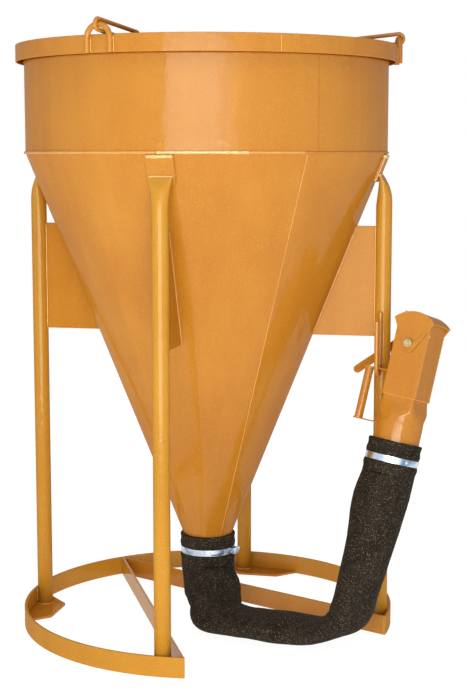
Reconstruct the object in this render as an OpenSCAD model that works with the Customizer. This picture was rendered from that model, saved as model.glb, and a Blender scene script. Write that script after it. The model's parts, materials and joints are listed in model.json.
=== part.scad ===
// Conical concrete bucket with a discharge hose, a sector gate and a leg frame.
// Millimetres, +Z up, origin on the hopper axis at ground level, base opening towards -Y.
// An azimuth of 0 points to -Y and grows anticlockwise seen from above.

/* [Hopper] */
// Outside diameter of the drum
shell_d = 1100; // [900:10:1300]
// Sheet thickness of the drum and the cone
shell_wall = 4; // [2:0.5:8]
// Height of the cone
cone_h = 1187; // [1000:1:1400]
// Height of the straight drum, rim included
drum_h = 317; // [250:1:400]
// Outside diameter of the cone at its lower end
outlet_d = 154; // [140:1:200]
// Height of the cone's lower end above the ground
outlet_z = 276; // [260:1:320]
// Outside diameter of the outlet spigot
spigot_d = 150; // [136:1:180]
// Length of the outlet spigot
spigot_len = 88; // [70:1:100]
// Wall of the spigot and of the spout tube
pipe_wall = 4; // [2:0.5:6]

/* [Rim] */
// Projection of the rim angle past the drum
rim_out = 25; // [15:1:50]
// Height of the rim angle's skirt
rim_h = 50; // [30:1:80]
// Thickness of the rim angle
rim_wall = 5; // [3:0.5:8]

/* [Base] */
// Projection of the base ring past the drum
base_out = 28; // [20:1:60]
// Height of the flat bar that the base is made of
base_h = 60; // [40:1:100]
// Thickness of that flat bar
base_t = 8; // [5:0.5:12]
// Half of the base ring's open angle, in degrees
base_open = 38; // [30:1:42]
// Thickness of the foot plates
foot_t = 8; // [5:0.5:12]
// Length of a foot plate's inner edge
foot_edge = 134; // [100:1:160]
// Distance of that edge from the ring
foot_depth = 90; // [60:1:110]
// Shift of a foot plate along the ring from its leg
foot_shift = 61; // [40:1:66]

/* [Legs] */
// Outside diameter of the leg tubes
leg_d = 48.3; // [42:0.1:56]
// Wall of the leg tubes
leg_wall = 3.2; // [2:0.1:5]
// Depth of the leg tops below the cone's upper edge
leg_drop = 67; // [40:1:90]
// Length over which a leg is pressed flat
crush_len = 89; // [60:1:140]
// Width of a leg's flat end
crush_w = 70; // [60:1:76]
// Thickness of a leg's flat end
crush_t = 7; // [5:0.5:10]
// Width of the pads between the legs and the cone
pad_w = 78; // [70:1:110]
// Length of the pads along the cone
pad_len = 78; // [70:1:120]
// Distance of the pads along the cone from the drum's joint
pad_drop = 12; // [5:1:15]
// Thickness of the pads
pad_t = 8; // [5:0.5:12]
// Depth of the gussets' upper edge below the cone's upper edge
gusset_drop = 218; // [150:1:300]
// Height of the gussets
gusset_h = 333; // [200:1:400]
// Thickness of the gussets
gusset_t = 6; // [4:0.5:10]

/* [Lifting] */
// Azimuth of the first lifting staple, in degrees
staple_turn = -61.5; // [-75:0.5:-55]
// Bar diameter of the staples
staple_bar = 16; // [12:0.5:20]
// Spacing of a staple's two legs
staple_w = 74; // [60:1:100]
// Bar diameter of the lifting links
link_bar = 12; // [8:0.5:13]
// Distance between a link's two bends
link_len = 188; // [120:1:260]
// Slope of a resting link into the bucket, in degrees
link_slope = 6.6; // [4:0.1:7]

/* [Hose] */
// Wall of the rubber hose
hose_wall = 8; // [5:0.5:12]
// Height of the spigot clamp below the cone's end
spigot_clamp_drop = 50; // [30:1:60]
// Width of the clamp bands
clamp_w = 19; // [12:1:26]
// Thickness of the clamp bands
clamp_t = 1.2; // [0.8:0.1:2]
// Length of a clamp's worm housing
worm_len = 30; // [20:1:40]
// Height of a clamp's worm housing
worm_h = 15; // [10:1:20]
// Diameter of a clamp's worm screw
worm_d = 10; // [6:0.5:12]
// Length of a clamp's worm screw
worm_screw_len = 44; // [41:1:60]
// Azimuth of the spigot clamp's housing, in degrees
worm_turn = 32; // [20:1:80]

/* [Spout head] */
// Distance of the gate pivot from its leg, outwards
head_out = 111.4; // [100:0.1:130]
// Distance of the gate pivot from its leg, sideways
head_side = 53; // [45:0.1:60]
// Height of the gate pivot
head_z = 892; // [840:1:960]
// Lean of the spout towards +X, in degrees
head_lean = 15.5; // [12:0.5:18]
// Turn of the spout about its own axis, in degrees
head_turn = -66; // [-70:0.5:-62]
// Outside diameter of the spout tube
spout_d = 139.7; // [130:0.1:150]
// Length of the spout tube
spout_len = 167; // [155:1:185]
// Outside width of the square spout box
box_w = 108; // [100:1:112]
// Plate thickness of the spout box
box_wall = 5; // [3:0.5:8]
// Depth of the box's lower edge below the gate pivot
box_drop = 158; // [145:1:170]
// Length of the piece between the square box and the round tube
neck_len = 60; // [40:1:80]
// Step from the box's outside to the neck
neck_step = 2; // [1:0.5:4]
// Length of spout tube that stands clear of the hose
spout_bare = 73; // [65:1:80]
// Distance of the head clamp from the hose's end
head_clamp_in = 54; // [40:1:60]
// Turn of the head clamp's housing about the spout, in degrees
head_worm_turn = 100; // [80:1:160]

/* [Gate] */
// Outside radius of the sector gate
gate_r = 96; // [92:1:104]
// How far the sector reaches past the box on either side
gate_cover = 12; // [8:0.5:16]
// Thickness of the sector's curved skin
gate_skin_t = 4; // [3:0.5:6]
// Thickness of the sector's side plates
gate_side_t = 5; // [3:0.5:8]
// Depth of the side plates below the pivot
gate_tip_drop = 26; // [22:1:34]
// Half width of the side plates' lower tip
gate_tip_half = 11; // [8:1:14]
// Diameter of the pivot bolts
pivot_d = 16; // [12:1:20]
// Width of the gate lever
lever_w = 24; // [18:1:30]
// Thickness of the gate lever
lever_t = 8; // [5:0.5:10]
// Slope of the gate lever, in degrees
lever_slope = 42.5; // [38:0.5:48]
// Distance of the lever's middle line from the pivot
lever_off = 69; // [60:1:74]
// Length of the lever beyond the pivot's foot point
lever_tip = 227; // [180:1:250]
// Length of the lever on the side plate's far side of that point
lever_root = 20; // [10:1:26]

/* [Handle and hook] */
// Diameter of the grip
grip_d = 25; // [20:0.5:30]
// Distance of the grip from the spout's axis
grip_off = 128; // [122:1:140]
// Depth of the upper strap below the pivot
strap_drop = 90; // [84:1:96]
// Distance between the two straps
strap_gap = 158; // [140:1:170]
// Width of the straps
strap_w = 26; // [20:1:28]
// Thickness of the straps
strap_t = 4; // [3:0.5:6]
// Bar diameter of the storage hook
hook_bar = 14; // [10:0.5:15]
// Play of the strap between the hook's two uprights
hook_play = 3; // [2:0.5:6]
// Azimuth of the hook about its leg, in degrees
hook_turn = -51; // [-55:1:-47]
// Height of the hook's front upright
hook_front_h = 139; // [110:1:150]
// Height of the hook's rear upright
hook_rear_h = 163; // [140:1:180]

/* [Hidden] */
$fn = 96;

// Paint and material colours
paint = "darkorange";
zinc = "lightsteelblue";
brass_zinc = "darkkhaki";
rubber = "dimgray";

// Clearances: between welded pieces, between rubber and pipe, and of the running fits
weld_gap = 0.3;
rubber_gap = 0.4;
pivot_gap = 0.05;
gate_gap = 1;
link_gap = 0.5;
link_rest_gap = 0.4;
hook_seat_gap = 0.8;
ground_gap = 2;
// How far a cut runs past what it cuts
overrun = 1;

// Azimuths of the legs, and the number of staples
leg_turns = [-45, 45, 135, -135];
staple_count = 3;

// Hopper sizes
shell_r = shell_d / 2;
joint_z = outlet_z + cone_h;
rim_z = joint_z + drum_h;
rim_d = shell_d + 2 * rim_out;
cone_slope = (shell_r - outlet_d / 2) / cone_h;
cone_angle = atan(cone_slope);
cone_wall = shell_wall / cos(cone_angle);

// Frame sizes
base_d = shell_d + 2 * base_out;
base_in_r = base_d / 2 - base_t;
leg_r = base_in_r - leg_d / 2 - weld_gap;
leg_top_z = joint_z - leg_drop;
crush_straight_share = 0.06;
// Middle section of a leg's pressed end: its place below the top, how far its outer side has come out
// and how much of the pressed width is left
crush_mid_share = 0.34;
crush_bulge_share = 0.66;
crush_spread_share = 0.62;
pad_face_x = shell_r + (weld_gap + pad_t) / cos(cone_angle) - leg_drop * cone_slope;
// Shares of a foot plate's depth by which it flares on its leg's side
front_flare_share = 0.25;
rear_flare_share = 1;
// Angle by which a brace's end stands back from the end of the ring
brace_back = 0.6;

// Lifting gear sizes
staple_leg_r = rim_d / 2 + staple_bar / 2 + weld_gap;
staple_r = sqrt(staple_leg_r * staple_leg_r - staple_w * staple_w / 4);
link_half = staple_bar / 2 + link_gap + link_bar / 2;
// A resting link lies on the rim's inner edge
staple_top_z = rim_z + link_rest_gap + (link_half + link_bar / 2) / cos(link_slope)
    + (staple_r - shell_r + shell_wall) * tan(link_slope);

// Hose sizes: a ring of the sweep has straight sides, so its corners stand out past the pipe
hose_sides = 28;
hose_steps = 3;
hose_corner = 1 / cos(180 / hose_sides);
hose_top_z = outlet_z - weld_gap;
spigot_hose_r = (spigot_d / 2 + rubber_gap) * hose_corner + hose_wall;
head_hose_r = (spout_d / 2 + rubber_gap) * hose_corner + hose_wall;
hose_end_s = -(box_drop + neck_len + spout_bare);
spout_end_s = -(box_drop + neck_len + spout_len);
// Straight length of hose past a pipe's end
hose_lead = 6;

// The hose's stations between its two straight ends: shares of the lower end of the spout's axis
// along X, Y and Z, where a Z share of 0 lies on the ground, then of the hose's radius
// across and within the bend
hose_shares = [
    [-0.009, 0.027, 0.262, 0.99, 0.96],
    [-0.035, 0.085, 0.200, 1.10, 1.04],
    [-0.086, 0.157, 0.158, 1.14, 0.82],
    [-0.158, 0.291, 0.101, 1.16, 0.577],
    [-0.089, 0.453, 0.094, 1.18, 0.43],
    [0.025, 0.557, 0.095, 1.165, 0.433],
    [0.220, 0.684, 0.084, 1.185, 0.474],
    [0.442, 0.821, 0.083, 1.20, 0.391],
    [0.573, 0.914, 0.148, 1.12, 0.565],
    [0.624, 0.971, 0.214, 1.07, 0.737],
    [0.628, 1.023, 0.344, 1.00, 0.775],
    [0.752, 1.020, 0.570, 0.99, 0.871],
    [0.890, 1.013, 0.846, 1.05, 1.04]
];

// Spout head sizes
head_leg_turn = leg_turns[1];
head_leg = leg_r * [sin(head_leg_turn), -cos(head_leg_turn)];
head_place = [
    (leg_r + head_out) * sin(head_leg_turn) - head_side * cos(head_leg_turn),
    -(leg_r + head_out) * cos(head_leg_turn) - head_side * sin(head_leg_turn),
    head_z
];
head_axis = [sin(head_lean), 0, cos(head_lean)];
// Gap between the box's mouth and the gate's skin
mouth_gap = 2;
mouth_r = gate_r - gate_skin_t - mouth_gap;
gate_in_w = box_w / 2 + gate_gap;
gate_out_w = gate_in_w + gate_side_t;
gate_half = asin((box_w / 2 + gate_cover) / gate_r);

// The hook's middle in plan, the height of the strap's underside there and how the strap lies in the bend
hook_gap = strap_w + 2 * hook_play + hook_bar;
hook_rear_x = leg_d / 2 + hook_bar / 2 + weld_gap;
hook_mid = head_leg + (hook_rear_x + hook_gap / 2) * [sin(hook_turn), -cos(hook_turn)];
strap_under_z = head_z
    - (strap_drop + strap_t / 2 + (hook_mid[0] - head_place[0]) * head_axis[0]) / head_axis[2];
pivot_way = [-sin(head_turn) * cos(head_lean), cos(head_turn), sin(head_turn) * sin(head_lean)];
grip_shift = -pivot_way * ([hook_mid[0], hook_mid[1], strap_under_z] - head_place);
hook_in_r = (hook_gap - hook_bar) / 2;
hook_z = strap_under_z - hook_seat_gap
    + sqrt(hook_in_r * hook_in_r - strap_w * strap_w / 4) + pivot_way[2] * strap_w / 2;

// Shares of the bolt's and the worm screw's diameters
pivot_hex_share = 1.5;
pivot_head_share = 0.625;
pivot_nut_share = 0.8;
worm_head_share = 1.2;
worm_slot_share = 0.2;
pivot_hex = pivot_hex_share * pivot_d;
pivot_head_h = pivot_head_share * pivot_d;
pivot_nut_h = pivot_nut_share * pivot_d;
// Gap under the pivot bolts' heads
head_gap = 0.4;

// Places a child at an azimuth, with its local +X pointing outwards
module at(turn) {
    rotate([0, 0, turn - 90]) children();
}

// Places a child in the spout head's frame: X away from the grip, Y along the pivot, Z up the spout
module in_head() {
    translate(head_place) rotate([0, head_lean, 0]) rotate([0, 0, head_turn]) children();
}

// Upright plate of a given thickness, centred on the local XZ plane
module upright_plate(thickness) {
    rotate([90, 0, 0]) linear_extrude(thickness, center = true) children();
}

// Pipe standing on its local origin
module pipe(outside, wall, height) {
    difference() {
        cylinder(d = outside, h = height);
        translate([0, 0, -overrun]) cylinder(d = outside - 2 * wall, h = height + 2 * overrun);
    }
}

// Half ring of round bar in the local XZ plane, on the +X side
module bar_bend(radius, bar) {
    rotate([90, 0, 0]) rotate([0, 0, -90]) rotate_extrude(angle = 180) translate([radius, 0]) circle(d = bar);
}

function cone_r(z) = outlet_d / 2 + (z - outlet_z) * cone_slope;

// Hopper

module drum_shell() {
    color(paint)
        translate([0, 0, joint_z]) pipe(shell_d, shell_wall, drum_h - rim_wall);
}

module hopper_cone() {
    color(paint)
        rotate_extrude() polygon([
            [outlet_d / 2 - cone_wall, outlet_z],
            [outlet_d / 2, outlet_z],
            [shell_r, joint_z],
            [shell_r - cone_wall, joint_z]
        ]);
}

module rim_angle() {
    color(paint)
        rotate_extrude() polygon([
            [shell_r - shell_wall, rim_z - rim_wall],
            [rim_d / 2 - rim_wall, rim_z - rim_wall],
            [rim_d / 2 - rim_wall, rim_z - rim_h],
            [rim_d / 2, rim_z - rim_h],
            [rim_d / 2, rim_z],
            [shell_r - shell_wall, rim_z]
        ]);
}

module outlet_spigot() {
    color(paint)
        translate([0, 0, outlet_z - spigot_len]) pipe(spigot_d, pipe_wall, spigot_len);
}

// Base

module base_ring() {
    color(paint)
        at(base_open) rotate_extrude(angle = 360 - 2 * base_open)
            translate([base_in_r, 0]) square([base_t, base_h]);
}

// Straight bar from the back of the ring to one end of it, mitred on the middle plane
module brace() {
    end_turn = base_open + brace_back;
    end = base_in_r * [sin(end_turn), -cos(end_turn)];
    run = end - [0, base_in_r];
    color(paint) intersection() {
        translate([0, base_in_r, 0]) rotate([0, 0, atan2(run[1], run[0])])
            translate([-base_t, -base_t / 2, 0]) cube([norm(run) + 2 * base_t, base_t, base_h]);
        cylinder(r = base_in_r - weld_gap, h = base_h);
        translate([weld_gap / 2, -base_d / 2, 0]) cube([base_d, base_d, base_h]);
    }
}

module brace_right() {
    brace();
}

module brace_left() {
    mirror([1, 0, 0]) brace();
}

// Plate on the ground between the ring and an inner edge, flared on its far side,
// and on the leg's own side too where the brace leaves room
module foot_plate(turn, side, near_flare_share) {
    edge_x = base_in_r - foot_depth;
    edge_near = foot_shift - foot_edge / 2;
    edge_far = foot_shift + foot_edge / 2;
    color(paint) intersection() {
        at(turn) linear_extrude(foot_t) polygon([
            [edge_x, side * edge_near],
            [edge_x, side * edge_far],
            [base_in_r, side * (edge_far + foot_depth)],
            [base_in_r, side * (edge_near - near_flare_share * foot_depth)]
        ]);
        cylinder(r = base_in_r - weld_gap, h = foot_t);
    }
}

module foot_plate_front_left() {
    foot_plate(leg_turns[0], -1, front_flare_share);
}

module foot_plate_front_right() {
    foot_plate(leg_turns[1], 1, front_flare_share);
}

module foot_plate_rear_right() {
    foot_plate(leg_turns[2], -1, rear_flare_share);
}

module foot_plate_rear_left() {
    foot_plate(leg_turns[3], 1, rear_flare_share);
}

// Legs

// Tube on its foot plate, pressed flat at the top against its pad
module leg(turn) {
    round_z = leg_top_z - crush_len;
    flat_h = crush_len * crush_straight_share;
    flat_x = pad_face_x + weld_gap;
    mid_in_x = flat_x + (leg_r - leg_d / 2 - flat_x) * crush_mid_share;
    mid_out_x = flat_x + crush_t + (leg_r + leg_d / 2 - flat_x - crush_t) * crush_bulge_share;
    mid_w = leg_d + (crush_w - leg_d) * crush_spread_share;
    color(paint) at(turn) {
        translate([leg_r, 0, foot_t]) pipe(leg_d, leg_wall, round_z - foot_t);
        hull() {
            translate([leg_r, 0, round_z]) cylinder(d = leg_d, h = leg_wall, $fn = 32);
            pressed_mid(mid_in_x, mid_out_x, mid_w);
        }
        hull() {
            pressed_mid(mid_in_x, mid_out_x, mid_w);
            translate([flat_x, -crush_w / 2, leg_top_z - flat_h]) cube([crush_t, crush_w, flat_h]);
        }
    }
}

// Oval slice of a leg's pressed end
module pressed_mid(in_x, out_x, width) {
    translate([(in_x + out_x) / 2, 0, leg_top_z - crush_len * crush_mid_share])
        scale([(out_x - in_x) / leg_d, width / leg_d, 1]) cylinder(d = leg_d, h = leg_wall, $fn = 32);
}

// Flat plate along the cone, just under the drum's joint
module leg_pad(turn) {
    color(paint)
        at(turn) translate([shell_r, 0, joint_z]) rotate([0, cone_angle, 0])
            translate([weld_gap, -pad_w / 2, -pad_drop - pad_len]) cube([pad_t, pad_w, pad_len]);
}

// Upright plate between the cone and the inside of a leg
module gusset(turn) {
    top_z = joint_z - gusset_drop;
    low_z = top_z - gusset_h;
    leg_x = leg_r - leg_d / 2 - weld_gap;
    color(paint) at(turn) upright_plate(gusset_t) polygon([
        [cone_r(low_z) + weld_gap, low_z],
        [leg_x, low_z],
        [leg_x, top_z],
        [cone_r(top_z) + weld_gap, top_z]
    ]);
}

module leg_front_left() {
    leg(leg_turns[0]);
}

module leg_front_right() {
    leg(leg_turns[1]);
}

module leg_rear_right() {
    leg(leg_turns[2]);
}

module leg_rear_left() {
    leg(leg_turns[3]);
}

module leg_pad_front_left() {
    leg_pad(leg_turns[0]);
}

module leg_pad_front_right() {
    leg_pad(leg_turns[1]);
}

module leg_pad_rear_right() {
    leg_pad(leg_turns[2]);
}

module leg_pad_rear_left() {
    leg_pad(leg_turns[3]);
}

module gusset_front_left() {
    gusset(leg_turns[0]);
}

module gusset_front_right() {
    gusset(leg_turns[1]);
}

module gusset_rear_right() {
    gusset(leg_turns[2]);
}

module gusset_rear_left() {
    gusset(leg_turns[3]);
}

// Lifting gear

// Round bar bent over, with both legs on the outside of the rim's skirt
module staple(count) {
    bend_z = staple_top_z - staple_w / 2;
    leg_len = bend_z - rim_z + rim_h;
    color(paint) at(staple_turn + count * 360 / staple_count) translate([staple_r, 0, bend_z]) {
        for (side = [-1, 1])
            translate([0, side * staple_w / 2, -leg_len]) cylinder(d = staple_bar, h = leg_len);
        rotate([0, 0, 90]) rotate([0, -90, 0]) bar_bend(staple_w / 2, staple_bar);
    }
}

// Closed oval link round the top of its staple, lying over the rim into the bucket
module link(count) {
    color(paint) at(staple_turn + count * 360 / staple_count) translate([staple_r, 0, staple_top_z])
        rotate([0, -link_slope, 0]) {
            bar_bend(link_half, link_bar);
            translate([-link_len, 0, 0]) rotate([0, 0, 180]) bar_bend(link_half, link_bar);
            for (side = [-1, 1])
                translate([-link_len, 0, side * link_half]) rotate([0, 90, 0])
                    cylinder(d = link_bar, h = link_len);
        }
}

module staple_left() {
    staple(0);
}

module staple_right() {
    staple(1);
}

module staple_rear() {
    staple(2);
}

module link_left() {
    link(0);
}

module link_right() {
    link(1);
}

module link_rear() {
    link(2);
}

// Storage hook

// Round bar bent to an open U, its rear upright welded along the leg
module storage_hook() {
    color(paint) translate([head_leg[0], head_leg[1], hook_z]) at(hook_turn) {
        translate([hook_rear_x, 0, 0]) cylinder(d = hook_bar, h = hook_rear_h);
        translate([hook_rear_x + hook_gap, 0, 0]) cylinder(d = hook_bar, h = hook_front_h);
        translate([hook_rear_x + hook_gap / 2, 0, 0]) rotate([0, 90, 0]) bar_bend(hook_gap / 2, hook_bar);
    }
}

// Hose

// Point on a smooth curve through p1 and p2
function through(p0, p1, p2, p3, t) =
    (2 * p1 + t * (p2 - p0) + t * t * (2 * p0 - 5 * p1 + 4 * p2 - p3)
    + t * t * t * (3 * p1 - p0 - 3 * p2 + p3)) / 2;

function on_head_axis(s) = head_place + s * head_axis;

function unit(v) = v / norm(v);

// Stations as X, Y, Z and the outer half sizes across and within the bend
hose_foot = on_head_axis(spout_end_s - hose_lead);
hose_stations = [
    [0, 0, hose_top_z, spigot_hose_r, spigot_hose_r],
    [0, 0, outlet_z - spigot_len - hose_lead, spigot_hose_r, spigot_hose_r],
    for (share = hose_shares) let (
        radius = spigot_hose_r + (head_hose_r - spigot_hose_r) * max(0, share[0]),
        half = radius * share[4],
        z = share[2] > 0 ? share[2] * hose_foot[2] : half + ground_gap
    ) [share[0] * hose_foot[0], share[1] * hose_foot[1], z, radius * share[3], half],
    [for (v = hose_foot) v, head_hose_r, head_hose_r],
    [for (v = on_head_axis(hose_end_s)) v, head_hose_r, head_hose_r]
];

hose_last = len(hose_stations) - 1;
hose_rows = [
    hose_stations[0],
    for (i = [1:hose_last - 2], k = [0:hose_steps - 1])
        through(
            hose_stations[i - 1], hose_stations[i], hose_stations[i + 1], hose_stations[i + 2],
            k / hose_steps
        ),
    hose_stations[hose_last - 1],
    hose_stations[hose_last]
];

function row_place(i) = [hose_rows[i][0], hose_rows[i][1], hose_rows[i][2]];

hose_row_last = len(hose_rows) - 1;

// Direction of the hose at a row: its two ends are straight
function row_way(i) =
    i <= 1 ? [0, 0, -1] :
    i >= hose_row_last - 1 ? head_axis :
    unit(row_place(i + 1) - row_place(i - 1));

// Level direction across the bend
hose_across = unit([-hose_foot[1], hose_foot[0], 0]);

function row_across(i) = unit(hose_across - (hose_across * row_way(i)) * row_way(i));

function row_ring(i, inset) = let (across = row_across(i), within = cross(row_way(i), across)) [
    for (k = [0:hose_sides - 1]) let (turn = 360 * k / hose_sides)
        row_place(i) + (hose_rows[i][3] - inset) * cos(turn) * across
        + (hose_rows[i][4] - inset) * sin(turn) * within
];

// Tube with its bore, swept along the rows
module hose() {
    rings = hose_row_last + 1;
    outer = [for (i = [0:hose_row_last]) each row_ring(i, 0)];
    inner = [for (i = [0:hose_row_last]) each row_ring(i, hose_wall)];
    first_inner = rings * hose_sides;
    last = hose_row_last * hose_sides;
    sides = [for (k = [0:hose_sides - 1]) [k, (k + 1) % hose_sides]];
    faces = [
        for (i = [0:hose_row_last - 1], k = sides) let (
            a = i * hose_sides + k[0],
            b = i * hose_sides + k[1]
        ) each [
            [a, b, b + hose_sides],
            [a, b + hose_sides, a + hose_sides],
            [first_inner + a, first_inner + b + hose_sides, first_inner + b],
            [first_inner + a, first_inner + a + hose_sides, first_inner + b + hose_sides]
        ],
        for (k = sides) each [
            [k[0], first_inner + k[1], k[1]],
            [k[0], first_inner + k[0], first_inner + k[1]],
            [last + k[0], last + k[1], first_inner + last + k[1]],
            [last + k[0], first_inner + last + k[1], first_inner + last + k[0]]
        ]
    ];
    color(rubber) polyhedron(concat(outer, inner), faces);
}

// Clamps

// Outside radius of a clamp's band
function clamp_seat(hose_r) = hose_r + rubber_gap + clamp_t;

// Flat band round the hose
module clamp_band(hose_r) {
    color(zinc)
        translate([0, 0, -clamp_w / 2]) pipe(2 * clamp_seat(hose_r), clamp_t, clamp_w);
}

// Worm housing on the band's outside, at local +X
module clamp_housing(hose_r) {
    seat = clamp_seat(hose_r);
    sink = seat - sqrt(seat * seat - worm_len * worm_len / 4);
    color(zinc) difference() {
        translate([seat - sink, -worm_len / 2, -clamp_w / 2]) cube([worm_h + sink, worm_len, clamp_w]);
        cylinder(r = seat + weld_gap, h = clamp_w + 2 * overrun, center = true);
        translate([seat + worm_h / 2, 0, 0]) rotate([90, 0, 0])
            cylinder(d = worm_d + 2 * pivot_gap, h = worm_len + 2 * overrun, center = true);
    }
}

// Worm screw through that housing, with a slotted hexagon head
module clamp_screw(hose_r) {
    head_h = worm_screw_len - worm_len;
    color(zinc) translate([clamp_seat(hose_r) + worm_h / 2, worm_len / 2, 0]) rotate([-90, 0, 0]) difference() {
        union() {
            translate([0, 0, -worm_len]) cylinder(d = worm_d, h = worm_len + head_h / 2);
            cylinder(d = worm_d * worm_head_share, h = head_h, $fn = 6);
        }
        translate([-worm_d, -worm_d * worm_slot_share / 2, head_h / 2])
            cube([2 * worm_d, worm_d * worm_slot_share, head_h]);
    }
}

module spigot_clamp_band() {
    translate([0, 0, outlet_z - spigot_clamp_drop]) clamp_band(spigot_hose_r);
}

module spigot_clamp_housing() {
    translate([0, 0, outlet_z - spigot_clamp_drop]) at(worm_turn) clamp_housing(spigot_hose_r);
}

module spigot_clamp_screw() {
    translate([0, 0, outlet_z - spigot_clamp_drop]) at(worm_turn) clamp_screw(spigot_hose_r);
}

module head_clamp_band() {
    in_head() translate([0, 0, hose_end_s - head_clamp_in]) clamp_band(head_hose_r);
}

module head_clamp_housing() {
    in_head() translate([0, 0, hose_end_s - head_clamp_in]) rotate([0, 0, head_worm_turn])
        clamp_housing(head_hose_r);
}

module head_clamp_screw() {
    in_head() translate([0, 0, hose_end_s - head_clamp_in]) rotate([0, 0, head_worm_turn])
        clamp_screw(head_hose_r);
}

// Spout head

module spout_tube() {
    color(paint) in_head()
        translate([0, 0, spout_end_s]) pipe(spout_d, pipe_wall, spout_len);
}

// Solid from the round tube's outline to the square box's, both drawn in by an inset
module neck_solid(inset) {
    square_w = box_w - 2 * neck_step - 2 * inset;
    hull() {
        translate([0, 0, -box_drop - neck_len]) cylinder(d = spout_d - 2 * inset, h = overrun, $fn = 32);
        translate([-square_w / 2, -square_w / 2, -box_drop - overrun]) cube([square_w, square_w, overrun]);
    }
}

module spout_neck() {
    color(paint) in_head() difference() {
        neck_solid(0);
        neck_solid(pipe_wall);
    }
}

// Box plates: cheeks at the two ends of the pivot, webs between them, all cut to the gate's round
module spout_cheek(side) {
    color(paint) in_head() translate([0, side * (box_w - box_wall) / 2, 0]) difference() {
        upright_plate(box_wall) intersection() {
            translate([-box_w / 2, -box_drop]) square([box_w, box_drop + mouth_r]);
            union() {
                circle(r = mouth_r);
                translate([-box_w / 2, -box_drop]) square([box_w, box_drop]);
            }
        }
        rotate([90, 0, 0]) cylinder(d = pivot_d + 2 * pivot_gap, h = box_wall + 2 * overrun, center = true);
    }
}

module spout_web(side) {
    inner_w = box_w - 2 * box_wall;
    color(paint) in_head() intersection() {
        translate([side * (box_w - box_wall) / 2 - box_wall / 2, -inner_w / 2, -box_drop])
            cube([box_wall, inner_w, box_drop + mouth_r]);
        rotate([90, 0, 0]) linear_extrude(inner_w, center = true) union() {
            circle(r = mouth_r);
            translate([-box_w / 2, -box_drop]) square([box_w, box_drop]);
        }
    }
}

module spout_cheek_front() {
    spout_cheek(-1);
}

module spout_cheek_rear() {
    spout_cheek(1);
}

module spout_web_left() {
    spout_web(-1);
}

module spout_web_right() {
    spout_web(1);
}

// Flat strap from the spout's side to the grip's end
module strap(depth) {
    color(paint) in_head() difference() {
        translate([-grip_off - grip_d / 2, -grip_shift - strap_w / 2, -depth - strap_t / 2])
            cube([grip_off + grip_d / 2 - box_w / 2, strap_w, strap_t]);
        translate([0, 0, spout_end_s]) cylinder(d = spout_d + 2 * weld_gap, h = spout_len + overrun);
    }
}

module strap_upper() {
    strap(strap_drop);
}

module strap_lower() {
    strap(strap_drop + strap_gap);
}

// Tube between the two straps
module grip() {
    color(paint) in_head() translate([-grip_off, -grip_shift, -strap_drop - strap_gap + strap_t / 2])
        pipe(grip_d, pipe_wall / 2, strap_gap - strap_t);
}

// Hexagon bolts through the gate's sides and the cheeks
module pivot_bolt(side) {
    reach = gate_out_w + head_gap - box_w / 2 + box_wall + pivot_nut_h;
    rotate([side * -90, 0, 0]) translate([0, 0, gate_out_w + head_gap]) {
        cylinder(d = pivot_hex / cos(30), h = pivot_head_h, $fn = 6);
        translate([0, 0, -reach]) cylinder(d = pivot_d, h = reach + pivot_head_h / 2);
    }
}

module pivot_bolts() {
    color(brass_zinc) in_head() for (side = [-1, 1]) pivot_bolt(side);
}

module pivot_nuts() {
    color(brass_zinc) in_head() for (side = [-1, 1]) rotate([side * -90, 0, 0])
        translate([0, 0, box_w / 2 - box_wall - pivot_nut_h]) difference() {
            cylinder(d = pivot_hex / cos(30), h = pivot_nut_h, $fn = 6);
            translate([0, 0, -overrun])
                cylinder(d = pivot_d + 2 * pivot_gap, h = pivot_nut_h + 2 * overrun);
        }
}

// Gate

// Fan-shaped side plate that turns on its bolt
module gate_side(side) {
    corner = gate_r * [sin(gate_half), cos(gate_half)];
    color(paint) in_head() translate([0, side * (gate_in_w + gate_side_t / 2), 0]) difference() {
        upright_plate(gate_side_t) intersection() {
            circle(r = gate_r);
            polygon([
                [-gate_tip_half, -gate_tip_drop],
                [gate_tip_half, -gate_tip_drop],
                corner,
                [corner[0], gate_r],
                [-corner[0], gate_r],
                [-corner[0], corner[1]]
            ]);
        }
        rotate([90, 0, 0]) cylinder(d = pivot_d + 2 * pivot_gap, h = gate_side_t + 2 * overrun, center = true);
    }
}

module gate_side_front() {
    gate_side(-1);
}

module gate_side_rear() {
    gate_side(1);
}

// Curved plate that covers the mouth
module gate_skin() {
    color(paint) in_head() rotate([90, 0, 0]) rotate([0, 0, 90 - gate_half])
        rotate_extrude(angle = 2 * gate_half)
            translate([gate_r - gate_skin_t, -gate_in_w]) square([gate_skin_t, 2 * gate_in_w]);
}

// Flat bar with round ends on the rear side plate's outside
module gate_lever() {
    color(paint) in_head() translate([0, gate_out_w + lever_t / 2, 0]) upright_plate(lever_t)
        rotate(lever_slope) translate([0, lever_off]) {
            translate([-lever_tip, -lever_w / 2]) square([lever_tip + lever_root, lever_w]);
            translate([-lever_tip, 0]) circle(d = lever_w);
            translate([lever_root, 0]) circle(d = lever_w);
        }
}

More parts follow.
